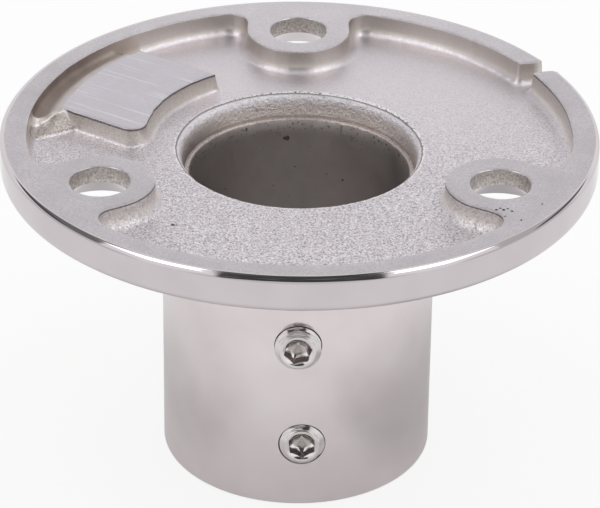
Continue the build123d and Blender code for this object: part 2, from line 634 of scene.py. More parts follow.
@dataclass(frozen=True)
class GroundFace:
    """Ground steel flat: satin grey, fine speckle, thin pale scratches on the pad, painted light at the back
    by lift.
    """

    name: str
    pale: Tone = tone(218, 213, 217)
    dark: Tone = tone(178, 173, 177)
    roughness: Point = (0.30, 0.44)
    direction: float = 0.0
    stretch: float = 1.5
    scratches: float = 0.0
    # lift, lifted_part and far: the face grows paler towards the back, painted light
    lift: float = 0.0
    lifted_part: Point = (0.012, 0.034)
    grain_depth: float = 0.012
    stroke_depth: float = 0.01
    far: Tone = tone(250, 246, 249)
    scratch: Tone = tone(232, 230, 234)

    def make(self) -> bpy.types.Material:
        """Draws up the material.

        Returns:
            The material.
        """
        sketch = Sketch(self.name)
        marks = sketch.noise(0.22, 3.0, 0.65, (self.stretch, 1.0, 1.0), self.direction)
        color = sketch.mixed(sketch.graded(marks, 0.3, 0.7), self.dark, self.pale)
        color = sketch.mixed(sketch.graded(sketch.noise(5.0), 0.35, 0.7, 0.0, 0.4), color, self.dark)
        # Painted light: paler towards the back
        painted_back_light = sketch.graded(sketch.coordinate("Y"), *self.lifted_part, 0.0, self.lift)
        color = sketch.mixed(painted_back_light, color, self.far)
        layers = [(marks, self.grain_depth)]
        if self.scratches > 0:
            lines = sketch.noise(0.5, 1.0, 0.4, (26.0, 1.0, 1.0), self.direction)
            stroke = sketch.graded(lines, 0.62, 0.70, 0.0, self.scratches)
            color = sketch.mixed(stroke, color, self.scratch)
            layers.append((stroke, self.stroke_depth))
        sketch.bumps(layers)
        return sketch.finished(color, marks, self.roughness)


@dataclass(frozen=True)
class Polish:
    """Polished or satin steel with faint clouding and hair marks."""

    name: str
    color: Tone
    cloud: Tone
    roughness: Point
    wave_depth: float = 0.0
    stretch: Place = (1.0, 1.0, 1.0)
    hair_depth: float = 0.0006

    def make(self) -> bpy.types.Material:
        """Draws up the material.

        Returns:
            The material.
        """
        sketch = Sketch(self.name)
        color = sketch.mixed(sketch.graded(sketch.noise(7.0), 0.3, 0.7), self.color, self.cloud)
        hairs = sketch.noise(0.25, 2.0, 0.6, self.stretch)
        sketch.bumps([(sketch.noise(3.5, 1.0), self.wave_depth), (hairs, self.hair_depth)])
        return sketch.finished(color, hairs, self.roughness)


class Finish(Enum):
    """The bracket's finishes; a cast skin's tones run from smooth floor to brink, as its fields do."""

    CAST = CastSkin()
    GROOVE = GrooveSkin()
    FUNNEL = FunnelSkin()
    LEDGE = CastSkin(
        "ledge_skin", tone(196, 187, 183), tone(206, 197, 193), tone(192, 183, 179), tone(150, 140, 136),
        tone(180, 170, 166), tone(196, 186, 182), tone(172, 162, 158), (0.56, 0.42), 0.05,
        (0.020, 0.030, 0.5),
    )
    # Painted shade: a dark line along the tops of the recess's and the pad's walls, and the insides of the
    # pits
    EDGE = CastSkin(
        "painted_shade_edge", tone(170, 160, 156), tone(176, 168, 168), tone(136, 127, 126), tone(104, 95, 94),
        tone(116, 106, 104), tone(168, 158, 154), tone(100, 92, 90), (0.56, 0.42), 0.05, (0.010, 0.021, 0.2),
    )
    # Bolt hole walls: the darker wall tone inside the holes is painted shade
    HOLE = CastSkin(
        "hole_wall", wall=tone(172, 165, 161), worn_wall=tone(226, 220, 215), grain_depth=0.16,
        fade=(0.05, 0.06, 1.0),
    )
    BORE = BoreSkin()
    GROUND = GroundFace("ground_face", lift=0.2)
    BEVEL = GroundFace(
        "streaked_bevel", tone(250, 244, 241), tone(206, 197, 192), (0.40, 0.52), 17.0, 9.0, 0.5,
    )
    PAD = GroundFace("ground_pad", tone(214, 210, 217), tone(196, 191, 198), (0.32, 0.46), -32.0, 5.0, 0.6)
    MIRROR = Polish("polished_rim", tone(212, 205, 208), tone(206, 199, 202), (0.04, 0.08), 0.004)
    SATIN = Polish(
        "satin_socket", tone(234, 226, 227), tone(226, 217, 218), (0.16, 0.24), 0.004, (1.0, 1.0, 5.0),
    )
    TURNED = Polish("turned_back", tone(206, 202, 203), tone(196, 192, 193), (0.22, 0.32), 0.002)
    THREAD = Polish("screw_thread", tone(232, 227, 227), tone(214, 208, 208), (0.08, 0.16), 0.0)
    BRIGHT = Polish("screw_bright", tone(236, 231, 231), tone(222, 216, 216), (0.06, 0.12), 0.001)
    SOCKET = Polish("screw_socket", tone(206, 199, 196), tone(176, 169, 166), (0.14, 0.24), 0.002)
    DRILL = Polish("screw_drill", tone(228, 221, 218), tone(180, 172, 169), (0.2, 0.34), 0.02)


# Skins


@dataclass
class Skin:
    """Collects the faces of one closed skin and turns them into an object."""

    finishes: tuple[Finish, ...]
    places: list[np.ndarray] = field(default_factory=list)
    faces: list[tuple[int, ...]] = field(default_factory=list)
    marks: list[int] = field(default_factory=list)
    count: int = 0

    def mark(self, finish: Finish) -> int:
        """Material index of a finish."""
        return self.finishes.index(finish)

    def add(self, places: np.ndarray, faces: Sequence[Sequence[int]], finish: Finish | np.ndarray) -> None:
        """Adds a patch.

        Args:
            places: The patch's points in space.
            faces: Its faces, as indices into those points.
            finish: Its finish, or the material index of each face.
        """
        self.places.append(places)
        self.faces += [tuple(int(i) + self.count for i in face) for face in faces]
        self.marks += [self.mark(finish)] * len(faces) if isinstance(finish, Finish) else finish.tolist()
        self.count += len(places)

    def loft(self, loops: list[np.ndarray], finish: Finish) -> None:
        """Adds the bands between successive closed loops.

        Args:
            loops: The loops, each with the same number of points.
            finish: Finish of the bands.
        """
        size = len(loops[0])
        self.add(np.concatenate(loops), [
            (row + i, row + (i + 1) % size, row + size + (i + 1) % size, row + size + i)
            for row in range(0, size * (len(loops) - 1), size) for i in range(size)
        ], finish)

    def sweep(self, profile: list[Point], count: int, finish: Finish, centre: Point = (0, 0)) -> None:
        """Adds the surface of a profile of radius and height that is turned about an upright axis."""
        self.loft([ring(radius, height, count, centre) for radius, height in profile], finish)

    def fan(self, loop: np.ndarray, tip: Place, finish: Finish) -> None:
        """Closes a loop with triangles that meet in one point."""
        size = len(loop)
        self.add(np.concatenate([loop, [tip]]), [(i, (i + 1) % size, size) for i in range(size)], finish)

    def to_object(self, name: str, made: dict[Finish, bpy.types.Material], crease: float) -> bpy.types.Object:
        """Welds the patches into one mesh object.

        Args:
            name: Name of the object.
            made: The finished materials.
            crease: Edges sharper than this many degrees are shaded sharp.

        Returns:
            The new object, linked to the scene.
        """
        mesh = bpy.data.meshes.new(name)
        mesh.from_pydata((np.concatenate(self.places) * MILLIMETRE).tolist(), [], self.faces)
        for finish in self.finishes:
            mesh.materials.append(made[finish])
        mesh.polygons.foreach_set("material_index", self.marks)
        work = bmesh.new()
        work.from_mesh(mesh)
        bmesh.ops.remove_doubles(work, verts=work.verts, dist=WELD * MILLIMETRE)
        bmesh.ops.dissolve_degenerate(work, edges=work.edges, dist=SLIVER * MILLIMETRE)
        loose = [vert for vert in work.verts if not vert.link_faces]
        bmesh.ops.delete(work, geom=loose, context="VERTS")
        bmesh.ops.recalc_face_normals(work, faces=work.faces)
        if work.calc_volume(signed=True) < 0:
            bmesh.ops.reverse_faces(work, faces=work.faces)
        open_edges = sum(not edge.is_manifold for edge in work.edges)
        triangles = sum(len(face.verts) - 2 for face in work.faces)
        work.to_mesh(mesh)
        work.free()
        mesh.shade_smooth()
        mesh.set_sharp_from_angle(angle=math.radians(crease))
        piece = bpy.data.objects.new(name, mesh)
        bpy.context.scene.collection.objects.link(piece)
        log.info("%s: %d triangles, %d open edges", name, triangles, open_edges)
        return piece


def triangulated(places: np.ndarray, lines: list[np.ndarray]) -> tuple[np.ndarray, np.ndarray]:
    """Triangles over plan points that keep to closed lines.

    Args:
        places: Loose plan points.
        lines: Closed lines, whose edges are kept.

    Returns:
        All the points, and the triangles as indices into them.
    """
    given = np.concatenate([places, *lines])
    edges, first = [], len(places)
    for line in lines:
        edges += [(first + i, first + (i + 1) % len(line)) for i in range(len(line))]
        first += len(line)
    vectors = [Vector(spot) for spot in given]
    found, _, faces, sources, _, _ = delaunay_2d_cdt(vectors, edges, [], 0, 1e-5, True)
    spots = np.array([(v.x, v.y) for v in found])
    for index, source in enumerate(sources):
        if source:
            spots[index] = given[source[0]]
    return spots, np.array([face for face in faces if len(face) == 3])


# The casting


@dataclass
class MountingFace:
    """The recessed upper face of the flange: rim, bosses, gate pad, shelf, floor and drain slot."""

    face_height: float = 45.6
    floor_height: float = 42.8
    flange_radius: float = 38.1
    # Plan width of the rim's round edge, by direction in degrees
    edge_widths: tuple[Point, ...] = (
        (0, 0.5), (45, 0.5), (80, 0.75), (130, 0.9), (160, 0.85), (185, 0.6), (215, 0.7), (270, 0.9),
        (320, 0.7), (360, 0.5),
    )
    recess_radius: float = 34.7
    boss_circle: float = 28.6
    boss_radius: float = 6.8
    boss_corner: float = 2.5
    boss_angles: Place = (-29.3, 90.7, 210.7)
    hole_radius: float = 3.8
    entry_radius: float = 15.75
    # How far the entry's edge lies outside its circle, by direction in degrees
    entry_wander: tuple[Point, ...] = (
        (0, 0.0), (30, -0.1), (60, -0.22), (80, -0.22), (100, -0.05), (130, 0.15), (145, 0.32), (155, 0.22),
        (175, 0.12), (200, 0.0), (360, 0.0),
    )

    pad_direction: float = 146.4
    pad_left: float = 12.0
    pad_right: float = 7.2
    pad_inner: float = 19.65
    pad_outer: float = 31.2
    pad_corner: float = 2.0
    pad_height: float = 45.1

    # The shelf behind the pad: its edge from the right end, under the rim, and round its free end
    shelf_right: tuple[Point, Point] = ((-18.3, 22.9), (-23.0, 28.4))
    shelf_back: Place = (36.5, 129.0, 175.4)
    shelf_left: tuple[Point, ...] = ((-36.4, 2.95), (-34.6, 2.85), (-30.1, 5.45), (-27.5, 8.0), (-18.3, 22.9))
    shelf_spacing: tuple[float, ...] = (EVEN, EVEN, 0.4, 0.6)
    groove_height: float = 44.2
    # The groove's bed climbs to the pad from the first distance off the rim, over the second
    groove_climb: Point = (1.0, 2.3)
    # Height of the hollow round under the rim, distance off the rim where it starts, and its width
    groove_round: Place = (0.7, 0.1, 0.9)
    # The shelf's right end runs out into the floor between these directions in degrees
    shelf_run_out: Place = (110.0, 131.0, 140.0)
    run_out_sweep: float = 6.0
    bevel_line: tuple[Point, Point] = ((-34.47, 4.48), (-30.29, 5.77))
    bevel_fall: float = 0.33
    bevel_width: float = 1.6

    drain_angle: float = 30.4
    drain_lean: float = -16.0
    drain_width: float = 2.7
    drain_nick: float = 0.4
    drain_flare: float = 1.2
    # Where the flare's arc and its straight end lie, as shares of its radius
    flare_start: float = 0.98
    flare_arc_end: Point = (0.87, 0.5)
    flare_run_end: Point = (1.7, 1.95)
    clear_of_flange: float = 41.0

    wall_run: float = 0.12
    pad_wall_run: float = 0.36
    shelf_wall_run: float = 1.68
    foot_round: float = 1.3
    pad_foot: float = 0.55
    shelf_foot: float = 0.5
    edge_wear: float = 0.12
    slot_wear: Point = (0.13, 0.5)
    hole_wear: Point = (0.07, 0.16)
    entry_wear: Point = (0.06, 0.25)
    # Span of the drain slot's edges in degrees, and where they start off the recess
    slot_span: float = 7.0
    slot_start: float = 0.25
    # Chips round a hole's mouth: reach, size, seed and strength
    hole_chips: Four = (1.2, 0.8, 71.0, 1.2)
    # Depth of a pit in radii, and how steep it is
    pit_depth: float = 2.0
    pit_slope: float = 1.8
    # Place and radius of single pits
    pits: tuple[Place, ...] = (
        (-15.4, -20.4, 0.27), (27.0, -23.1, 0.16), (29.8, -19.0, 0.14), (24.1, -20.6, 0.2),
        (24.6, -20.2, 0.16), (25.0, -20.6, 0.22), (25.5, -20.3, 0.15), (26.0, -20.9, 0.18),
        (25.1, -22.2, 0.14),
    )

    # Height, length and seed of the waves in each surface and each cast edge
    floor_waves: Place = (0.05, 8.0, 41.0)
    groove_waves: Place = (0.04, 4.0, 47.0)
    land_waves: Place = (0.012, 5.0, 53.0)
    pad_waves: Place = (0.02, 6.0, 59.0)
    skin_waves: tuple[Place, Place] = ((0.030, 0.95, 61.0), (0.024, 0.5, 67.0))
    # Share of the skin's waves on the shelf and where the shelf ends for them
    shelf_skin: Point = (0.25, 1.7)
    # Share of the skin's waves at the back, place from which they grow towards the front, and over how far
    back_skin: Place = (0.55, 10.0, 20.0)
    entry_waves: tuple[Place, Place] = ((0.05, 1.7, 5.0), (0.06, 0.6, 8.0))
    recess_edge: Place = (0.07, 2.6, 11.0)
    pad_edge: Place = (0.06, 1.2, 23.0)
    shelf_edge: Place = (0.06, 1.3, 31.0)

    # Distances beside each edge at which the triangles keep to a parallel line
    recess_levels: tuple[float, ...] = (-0.12, 0.0, 0.018, 0.12, 0.17, 0.27, 0.45, 0.75, 1.1, 1.42)
    pad_levels: tuple[float, ...] = (-0.12, 0.0, 0.055, 0.36, 0.42, 0.52, 0.68, 0.91)
    shelf_levels: tuple[float, ...] = (-0.12, 0.0, 0.6, 1.2, 1.68, 1.8, 1.95, 2.18)
    level_spacing: float = 0.17
    # Spacing of loose points in the rough recess, on the flat rim, along the slope's brink and on the back
    skin_spacing: float = 0.342
    land_spacing: float = 0.8
    brink_spacing: float = 0.125
    back_spacing: float = 1.6
    # Clearances that loose points keep from walls, from the slope's brink and from holes
    wall_clear: float = 0.14
    brink_clear: float = 0.1
    hole_clear: float = 0.35
    steps: int = 480

    def __post_init__(self) -> None:
        """Draws the outlines once."""
        self.recess = self.roughened(self.recess_outline(), *self.recess_edge)
        self.pad = self.roughened(self.pad_outline(), *self.pad_edge)
        self.shelf = self.roughened(self.shelf_outline(), *self.shelf_edge)
        degrees = np.arange(self.steps) * 360 / self.steps
        directions = circle(np.radians(degrees))
        drift = np.interp(degrees, *zip(*self.entry_wander))
        uneven = sum(waves(directions * self.entry_radius, *layer) for layer in self.entry_waves)
        self.entry = Outline(directions * (self.entry_radius + drift + uneven)[:, None])
        self.holes = [self.hole_outline(angle) for angle in self.boss_angles]

    def edge_width(self, degrees: np.ndarray) -> np.ndarray:
        """Plan width of the rim's round edge, uneven from polishing, by direction in degrees."""
        return np.interp(degrees % 360, *zip(*self.edge_widths))

    def roughened(self, line: np.ndarray, amount: float, size: float, seed: float) -> Outline:
        """An outline of the drawn line whose cast edge wanders by an amount, in waves of a size."""
        shift = waves(line, amount, size, seed) + waves(line, 0.5 * amount, 0.35 * size, seed + 3)
        return Outline(line + shift[:, None] * Outline(line).outward)

    def recess_outline(self) -> np.ndarray:
        """Edge of the recess along the rim, round the bosses and out through the drain slot.

        Returns:
            The closed line's points.
        """
        reach, corner = self.boss_radius, self.boss_corner
        out = math.sqrt((self.recess_radius - corner) ** 2 - (reach + corner) ** 2)
        lean = math.degrees(math.atan2(reach + corner, out))
        boss = joined([
            arc((out, -reach - corner), corner, -lean, 90, FINE),
            run((out, -reach), (self.boss_circle, -reach), WIDE),
            arc((self.boss_circle, 0), reach, -90, -270, EVEN),
            run((self.boss_circle, reach), (out, reach), WIDE),
            arc((out, reach + corner), corner, -90, lean, FINE),
        ])
        pieces = []
        for angle, following in zip(self.boss_angles, (*self.boss_angles[1:], self.boss_angles[0] + 360)):
            pieces.append(turned(boss, angle))
            start, end = angle + lean, following - lean
            if start < self.drain_angle < end:
                leaves, returns, slot = self.drain_slot()
                pieces += [arc((0, 0), self.recess_radius, start, leaves, WIDE), slot]
                start = returns
            pieces.append(arc((0, 0), self.recess_radius, start, end, WIDE))
        return joined(pieces)

    def drain_slot(self) -> tuple[float, float, np.ndarray]:
        """The recess's edge out along one side of the drain slot and back along the other.

        Returns:
            The directions in degrees where it leaves the recess and where it returns, and its points.
        """
        heading = self.drain_angle + self.drain_lean
        middle = (self.recess_radius + self.flange_radius) / 2 * math.sin(math.radians(-self.drain_lean))
        nick, flare = self.drain_nick, self.drain_flare
        (arc_x, arc_y), (run_x, run_y) = np.array([self.flare_arc_end, self.flare_run_end]) * flare
        ends = []
        for side in (-1, 1):
            edge = middle + side * self.drain_width / 2
            across = edge + side * nick
            along = math.sqrt((self.recess_radius + nick) ** 2 - across ** 2)
            out = math.sqrt(self.flange_radius ** 2 - (edge + side * flare / 2) ** 2)
            out -= self.flare_start * flare
            ends.append((edge, along, across, math.degrees(math.atan2(across, along)), out))
        (low, low_x, low_y, low_bend, low_out), (high, high_x, high_y, high_bend, high_out) = ends
        line = joined([
            arc((low_x, low_y), nick, 180 + low_bend, 90, 0.1),
            run((low_x, low), (low_out, low), WIDE),
            arc((low_out, low - flare), flare, 90, 30, 0.12),
            run((low_out + arc_x, low - arc_y), (low_out + run_x, low - run_y), WIDE),
            run((self.clear_of_flange, low - run_y), (self.clear_of_flange, high + run_y), 0.4),
            run((high_out + run_x, high + run_y), (high_out + arc_x, high + arc_y), WIDE),
            arc((high_out, high + flare), flare, -30, -90, 0.12),
            run((high_out, high), (high_x, high), WIDE),
            arc((high_x, high_y), nick, -90, high_bend - 180, 0.1),
        ])
        return heading + low_bend, heading + high_bend, turned(line, heading)

    def pad_outline(self) -> np.ndarray:
        """Edge of the gate pad, with its pointed tip and its one rounded corner.

        Returns:
            The closed line's points.
        """
        tip, right, left = (math.asin(side / radius) for side, radius in (
            (self.pad_right, self.pad_inner), (self.pad_right, self.pad_outer),
            (self.pad_left, self.pad_outer),
        ))
        round_v = self.pad_left - self.pad_corner
        round_u = math.sqrt((self.pad_inner + self.pad_corner) ** 2 - round_v ** 2)
        lean = math.degrees(math.atan2(round_v, round_u))
        inner_end = (self.pad_inner * math.cos(tip), -self.pad_right)
        outer_end = (self.pad_outer * math.cos(right), -self.pad_right)
        return turned(joined([
            run(inner_end, outer_end, EVEN),
            arc((0, 0), self.pad_outer, -math.degrees(right), math.degrees(left), EVEN),
            run((self.pad_outer * math.cos(left), self.pad_left), (round_u, self.pad_left), EVEN),
            arc((round_u, round_v), self.pad_corner, 90, 180 + lean, FINE),
            arc((0, 0), self.pad_inner, lean, -math.degrees(tip), EVEN),
        ]), self.pad_direction)

    def shelf_outline(self) -> np.ndarray:
        """Edge of the shelf behind the gate pad; only its two ends lie free.

        Returns:
            The closed line's points.
        """
        stretches = zip(self.shelf_left, self.shelf_left[1:], self.shelf_spacing)
        return joined([
            run(*self.shelf_right, EVEN),
            arc((0, 0), *self.shelf_back, 0.5),
            *(run(start, end, spacing) for start, end, spacing in stretches),
        ])

    def hole_outline(self, angle: float) -> Outline:
        """Chipped mouth of one bolt hole.

        Args:
            angle: Direction of the hole in degrees.

        Returns:
            The mouth's outline.
        """
        directions = circle(turns(HOLE_STEPS))
        wall = directions * self.hole_radius
        uneven = waves(wall, 0.04, 1.1, angle) + waves(wall, 0.04, 0.5, angle)
        return Outline(towards(angle, self.boss_circle) + directions * (self.hole_radius + uneven)[:, None])

    def wall(self, away: np.ndarray, top: np.ndarray, floor: np.ndarray, width: float,
             foot: float) -> np.ndarray:
        """Height of one raised form and of the wall and foot round beside it.

        Args:
            away: Distance outwards from the form's edge, negative on its top.
            top: Height of its top.
            floor: Height of the floor beside it.
            width: Plan width of its wall.
            foot: Radius of the round at the wall's foot.

        Returns:
            The heights.
        """
        foot = np.clip(0.5 * (top - floor), 0.01, foot)
        brink = top - 0.5 * self.edge_wear
        slope = brink + (floor + foot - brink) * np.clip(away / width, 0, 1)
        toe = floor + foot * cove((away - width) / foot)
        crest = top - worn(-away, 0.5 * self.edge_wear, self.edge_wear)
        return np.where(away <= 0, crest, np.where(away < width, slope, toe))

    def past_bevel_line(self, places: np.ndarray) -> np.ndarray:
        """Distance of plan points past the line where the shelf's free end starts to fall.

        Args:
            places: Plan points.

        Returns:
            The distances, negative behind the line.
        """
        start, end = np.array(self.bevel_line)
        along = (end - start) / np.linalg.norm(end - start)
        return (places - start) @ np.array([along[1], -along[0]])

    def groove_bed(self, places: np.ndarray, rim: np.ndarray, shelf: np.ndarray,
                   floor: np.ndarray) -> np.ndarray:
        """Height of the shelf's hollow bed.

        Args:
            places: Plan points.
            rim: Their distance off the rim.
            shelf: Their distance outside the shelf.
            floor: Height of the recess's floor there.

        Returns:
            The heights.
        """
        hollow = self.groove_height + waves(places, *self.groove_waves)
        start, width = self.groove_climb
        bed = hollow + (self.pad_height - hollow) * eased((rim - start) / width)
        depth, start, width = self.groove_round
        bed += depth * cove((rim - start) / width)
        bed -= self.bevel_fall * np.clip(self.past_bevel_line(places), 0, self.bevel_width) * (shelf > -4)
        bend = np.degrees(np.arctan2(places[:, 1], places[:, 0]))
        first, rise, last = self.shelf_run_out
        run_out = floor + (bed - floor) * eased((bend - rise) / self.run_out_sweep)
        return np.where((bend > first) & (bend < last), run_out, bed)

    def height(self, places: np.ndarray) -> np.ndarray:
        """Height of the face over many plan places.

        Args:
            places: Plan points.

        Returns:
            The heights.
        """
        radius = np.hypot(places[:, 0], places[:, 1])
        bend = np.degrees(np.arctan2(places[:, 1], places[:, 0]))
        rim, pad = -self.recess.distance(places), self.pad.distance(places)
        shelf = self.shelf.distance(places)
        floor = self.floor_height + waves(places, *self.floor_waves)
        bed = self.groove_bed(places, rim, shelf, floor)
        land = self.face_height - self.land_waves[0] - waves(places, *self.land_waves)
        top = self.pad_height + waves(places, *self.pad_waves)
        z = self.wall(rim, land, floor, self.wall_run, self.foot_round)
        z = np.maximum(z, self.wall(pad, top, floor, self.pad_wall_run, self.pad_foot))
        z = np.maximum(z, self.wall(shelf, bed, floor, self.shelf_wall_run, self.shelf_foot))
        # Cast skin: soft on the shelf, stronger towards the front
        cast = ((rim > 0.02) & (pad > 0.02)).astype(float)
        (on_shelf, shelf_end), (at_back, start, width) = self.shelf_skin, self.back_skin
        soft = np.where(shelf < shelf_end, on_shelf, 1.0)
        soft *= at_back + (1 - at_back) * eased((start - places[:, 1]) / width)
        z += cast * soft * sum(waves(places, *layer) for layer in self.skin_waves)
        # Wear along the drain slot, the rim's round edge, the holes' mouths, the pits and the entry
        slot = (np.abs(bend - self.drain_angle) < self.slot_span) & (rim < 0)
        slot &= radius > self.recess_radius + self.slot_start
        z -= slot * worn(-rim, *self.slot_wear)
        width = self.edge_width(bend)
        turn = np.clip(radius - (self.flange_radius - width), 0, width)
        z = np.minimum(z, self.face_height - width + np.sqrt(width ** 2 - turn ** 2))
        reach, size, seed, strength = self.hole_chips
        for hole in self.holes:
            near = np.linalg.norm(places - hole.points.mean(0), axis=1) < self.hole_radius + reach
            if near.any():
                chips = 1 + strength * np.clip(grain(places[near], size, seed), 0, 1)
                z[near] -= chips * worn(hole.distance(places[near]), *self.hole_wear, 1.2)
        for x, y, size in self.pits:
            share = 1 - np.hypot(places[:, 0] - x, places[:, 1] - y) / size
            z -= self.pit_depth * size * eased(self.pit_slope * share)
        near = radius < self.entry_radius + 1
        if near.any():
            z[near] -= worn(self.entry.distance(places[near]), *self.entry_wear)
        return z

    def lifted(self, places: np.ndarray) -> np.ndarray:
        """Plan points raised to the face's height."""
        return np.column_stack([places, self.height(places)])

    def spread(self, distance: float, low: float, high: float, seed: int) -> np.ndarray:
        """Loose plan points, evenly spread and a little shaken.

        Args:
            distance: Distance between neighbours.
            low: Least radius.
            high: Largest radius.
            seed: Seed of the shake.

        Returns:
            The points.
        """
        rows = np.arange(-high, high, distance * ROW_SHARE)
        grid = np.stack(np.meshgrid(np.arange(-high, high, distance), rows), -1)
        grid[1::2, :, 0] += distance / 2
        points = grid.reshape(-1, 2)
        points = points + np.random.default_rng(seed).uniform(-SHAKE, SHAKE, points.shape) * distance
        radius = np.hypot(points[:, 0], points[:, 1])
        return points[(radius > low) & (radius < high)]

    def guide_lines(self) -> list[np.ndarray]:
        """Lines that the face's triangles keep to.

        Returns:
            Closed lines beside every edge, along the rim's round edge and round holes and pits.
        """
        lines = [self.recess.parallel(-level, self.level_spacing) for level in self.recess_levels]
        lines += [self.pad.parallel(level, self.level_spacing) for level in self.pad_levels]
        lines += [self.shelf.parallel(level, self.level_spacing) for level in self.shelf_levels]
        around = np.arange(self.steps) * 360 / self.steps
        notch = np.arange(self.drain_angle - 5.5, self.drain_angle + 3.5, 0.12)
        outer = np.unique(np.round(np.concatenate([around, notch]), 4))
        for tilt in np.linspace(0, 90, 11):
            degrees = outer if tilt == 90 else around
            inwards = self.edge_width(degrees) * (1 - math.sin(math.radians(tilt)))
            lines.append(circle(np.radians(degrees), self.flange_radius - inwards))
        lines += [self.entry.points, self.entry.parallel(0.1, 0.1), self.entry.parallel(0.25, 0.1)]
        for hole in self.holes:
            lines += [hole.points, hole.parallel(0.07, 0.08), hole.parallel(0.16, 0.08)]
        for x, y, size in self.pits:
            lines += [circle(turns(14), size * share, (x, y)) for share in (1.0, 0.7, 0.3)]
        return lines

    def loose_points(self) -> np.ndarray:
        """Points between the guide lines: dense where the skin is rough, sparse on flat tops.

        Returns:
            The plan points.
        """
        loose = self.spread(self.skin_spacing, self.entry_radius + 0.5, self.recess_radius + 0.3, 3)
        top = np.minimum(-self.recess.distance(loose), self.pad.distance(loose))
        loose = loose[(np.abs(top) > self.wall_clear) & ((top > 0) | (np.arange(len(loose)) % 3 == 0))]
        loose = loose[np.abs(self.past_bevel_line(loose)) > self.brink_clear]
        land = self.spread(self.land_spacing, self.recess_radius + 0.3, self.flange_radius - 1.1, 4)
        slot = self.spread(EVEN, self.recess_radius + 0.3, self.flange_radius - 0.6, 5)
        bend = np.degrees(np.arctan2(slot[:, 1], slot[:, 0]))
        slot = slot[(np.abs(bend - self.drain_angle) < 6) & (np.abs(self.recess.distance(slot)) > 0.16)]
        loose = np.concatenate([loose, land, slot, run(*self.bevel_line, self.brink_spacing)])
        for hole in self.holes:
            loose = loose[hole.distance(loose) > self.hole_clear]
        for x, y, size in self.pits:
            loose = loose[np.hypot(loose[:, 0] - x, loose[:, 1] - y) > 1.3 * size]
        return loose

    def build(self, skin: Skin) -> tuple[np.ndarray, np.ndarray, list[np.ndarray]]:
        """Adds the face to the casting's skin.

        Args:
            skin: The skin that gets the face.

        Returns:
            The loops that the rim's side, the entry and the bolt holes start from.
        """
        spots, faces = triangulated(self.loose_points(), self.guide_lines())
        middles = spots[faces].mean(1)
        keep = np.hypot(middles[:, 0], middles[:, 1]) < self.flange_radius
        keep &= self.entry.distance(middles) > 0
        for hole in self.holes:
            keep &= hole.distance(middles) > 0
        radius = np.hypot(spots[:, 0], spots[:, 1])
        on_edge = radius > self.flange_radius - 0.002
        spots[on_edge] *= (self.flange_radius / radius[on_edge])[:, None]
        space = self.lifted(spots)
        skin.add(space, faces[keep], self.finish_of(middles[keep], skin))
        used = np.zeros(len(spots), bool)
        used[faces[keep]] = True
        rim = space[used & on_edge]
        rim = rim[np.argsort(np.arctan2(rim[:, 1], rim[:, 0]) % FULL_TURN)]
        return rim, self.lifted(self.entry.points), [self.lifted(hole.points) for hole in self.holes]

    def finish_of(self, middles: np.ndarray, skin: Skin) -> np.ndarray:
        """Material index of faces by where they lie.

        Args:
            middles: Plan middles of the faces.
            skin: The skin that gets them.

        Returns:
            One index for each face.
        """
        x, y = middles.T
        rim, pad = -self.recess.distance(middles), self.pad.distance(middles)
        shelf = self.shelf.distance(middles)
        past = self.past_bevel_line(middles)
        round_edge = np.hypot(x, y) > self.flange_radius - self.edge_width(np.degrees(np.arctan2(y, x)))
        marks = np.full(len(middles), skin.mark(Finish.CAST))
        # A later row goes over the ones before it
        for finish, here in (
            # The dark line along the edges and the pits' insides are painted shade
            (Finish.EDGE, ((rim < 0.018) | (pad < 0.055)) & (y < 16.4)),
            (Finish.GROOVE, (shelf < 0) & (past < 0)),
            (Finish.BEVEL, (shelf < 0.06) & (past >= 0) & (x < -20) & (rim > 0.12) & (pad > 0.3)),
            (Finish.LEDGE, (shelf > 0.06) & (shelf < 1.75) & (x < -28) & (rim > 0.1) & (pad > 0.4)),
            (Finish.PAD, pad < 0),
            (Finish.GROUND, rim < 0),
            (Finish.MIRROR, round_edge & (rim < 0)),
            *((Finish.EDGE, np.hypot(x - across, y - up) < 0.95 * size) for across, up, size in self.pits),
        ):
            marks[here] = skin.mark(finish)
        return marks


@dataclass(frozen=True)
class ScrewHole:
    """Where a set screw's hole lies in the socket's wall."""

    sideways: float
    height: float
    thread_start: float

    def loop(self, reach: float | np.ndarray, wall: float, depth: float = 0.0,
             mouth: float = 0.0) -> np.ndarray:
        """A line round the hole that follows a round wall.

        Args:
            reach: Distance from the hole's axis.
            wall: Radius of the wall.
            depth: How far inside the wall the line lies.
            mouth: Distance from the axis at which the wall's surface is followed, where it isn't reach.

        Returns:
            The loop in space.
        """
        angles = turns(HOLE_STEPS)
        x = self.sideways + reach * np.cos(angles)
        surface = self.sideways + mouth * np.cos(angles) if mouth else x
        y = depth - np.sqrt(wall ** 2 - surface ** 2)
        return np.column_stack([x, y, self.height + reach * np.sin(angles)])

    def run_out(self) -> np.ndarray:
        """How far the thread's turn has come at each step round the hole, from 0 to 1."""
        return ((turns(HOLE_STEPS) - math.radians(self.thread_start)) % FULL_TURN) / FULL_TURN


